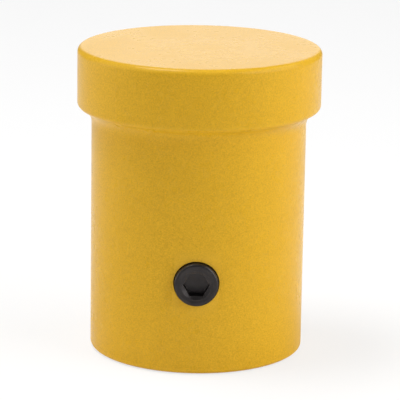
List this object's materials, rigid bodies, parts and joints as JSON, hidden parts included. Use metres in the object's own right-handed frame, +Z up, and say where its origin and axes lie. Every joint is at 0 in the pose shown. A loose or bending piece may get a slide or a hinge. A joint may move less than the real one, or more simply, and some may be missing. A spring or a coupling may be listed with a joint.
{
  "type": "retractable bollard",
  "caption": "Short capped bollard: a flanged-head steel sleeve that rises on a bolted-down column and is held by a hexagon-socket clamp screw in its side.",
  "frame": {"origin": "floor level at the centre of the foot", "axes": "+Z up along the post; -Y towards the lock screw in the sleeve's side; +X to the right seen from the screw side"},
  "size_m": [0.1295, 0.1294, 0.1637],
  "materials": {
    "yellow_coat": "semi-gloss golden-yellow powder coat, smooth",
    "column_steel": "drawn steel, lightly greased",
    "zinc_steel": "zinc-plated steel",
    "spring_steel": "oiled spring wire",
    "black_steel": "black-oxide steel",
    "gasket_rubber": "matt black rubber",
    "guide_plastic": "off-white low-friction plastic",
    "pad_brass": "turned brass"
  },
  "bodies": {
    "base": {"base_gasket": "gasket_rubber", "foot_plate": "zinc_steel", "column_tube": "column_steel", "key_rail": "column_steel", "key_rail_screws": "black_steel", "wear_ring": "guide_plastic", "wear_ring_screws": "black_steel", "landing_buffer": "gasket_rubber", "spring_cup": "zinc_steel", "spring_guide_tube": "column_steel", "lift_spring": "spring_steel"},
    "sleeve": {"spring_seat": "zinc_steel", "spring_seat_screw": "black_steel", "barrel_tube": "yellow_coat", "head_cap": "yellow_coat", "lock_boss": "column_steel", "guide_bush": "guide_plastic", "wiper_seal": "gasket_rubber", "retaining_ring": "black_steel"},
    "clamp_pad": {"clamp_pad": "pad_brass", "pad_clip": "black_steel"},
    "lock_screw": {"lock_screw": "black_steel", "screw_seal": "gasket_rubber"}
  },
  "joints": [
    {"name": "sleeve_lift", "type": "slide", "parent": "base", "child": "sleeve", "axis": [0, 0, 1], "range_m": [0, 0.09], "stiffness_N_per_m": 300, "springref_m": 0.1, "deforming": ["lift_spring"]},
    {"name": "clamp_pad_slide", "type": "slide", "parent": "sleeve", "child": "clamp_pad", "axis": [0, 1, 0], "range_m": [-0.003, 0.001]},
    {"name": "lock_screw_turn", "type": "hinge", "parent": "clamp_pad", "child": "lock_screw", "pos_m": [0, -0.0602, 0.0495], "axis": [0, 1, 0], "range_deg": [-360, 120]}
  ],
  "couplings": [
    {"joint": "lock_screw_turn", "follows": "clamp_pad_slide", "rad_per_m": 2094.4}
  ]
}
